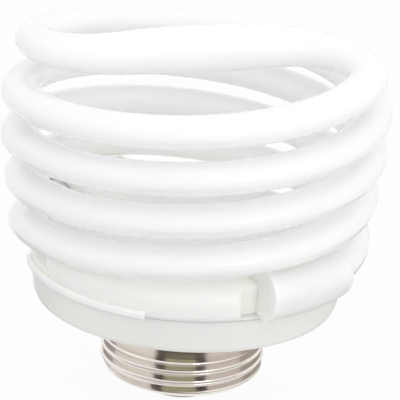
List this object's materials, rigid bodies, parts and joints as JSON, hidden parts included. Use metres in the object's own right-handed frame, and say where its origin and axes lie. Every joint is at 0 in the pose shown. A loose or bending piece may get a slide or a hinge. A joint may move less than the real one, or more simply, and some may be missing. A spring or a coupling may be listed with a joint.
{
  "type": "spiral energy saving bulb",
  "caption": "Compact fluorescent lamp: white double spiral tube with an S-shaped bridge, round ballast housing with two tube holders, and a medium screw base.",
  "frame": {"origin": "on the lamp's axis, in the middle of the screw shell's straight wall", "axes": "+Z along the axis from the screw base up to the tube's bridge; the lamp is held by its screw base; the picture looks along +Y"},
  "size_m": [0.0606, 0.061, 0.0619],
  "materials": {
    "tube": "phosphor coated glass, glossy",
    "cover": "ivory, satin gloss",
    "housing": "ivory, satin",
    "shell": "nickel plated, rolled",
    "insulator": "black glass",
    "contact": "satin",
    "solder": "solder, satin",
    "board": "phenolic board",
    "can_sleeve": "shrink sleeve",
    "ferrite": "ferrite, matte",
    "copper": "enamelled copper",
    "chip_plastic": "moulded epoxy",
    "resistor_coat": "lacquer",
    "film_coat": "dipped film",
    "tinned": "tinned wire",
    "cement": "cement, matte"
  },
  "bodies": {
    "root": {"spiral_tube": "tube", "top_cover": "cover", "ballast_housing": "housing", "screw_shell": "shell", "base_insulator": "insulator", "centre_contact": "contact", "contact_solder": "solder", "circuit_board": "board", "bulk_capacitor": "can_sleeve", "choke_core": "ferrite", "choke_winding": "copper", "drive_toroid": "ferrite", "drive_windings": "copper", "switch_transistors": "chip_plastic", "rectifier_diodes": "chip_plastic", "small_resistors": "resistor_coat", "resonance_capacitor": "film_coat", "blocking_capacitor": "film_coat", "filter_choke": "ferrite", "fuse_resistor": "resistor_coat", "wrap_pins": "tinned", "filament_leads": "tinned", "tube_cement": "cement", "shell_lead": "tinned", "contact_lead": "tinned"}
  },
  "joints": []
}
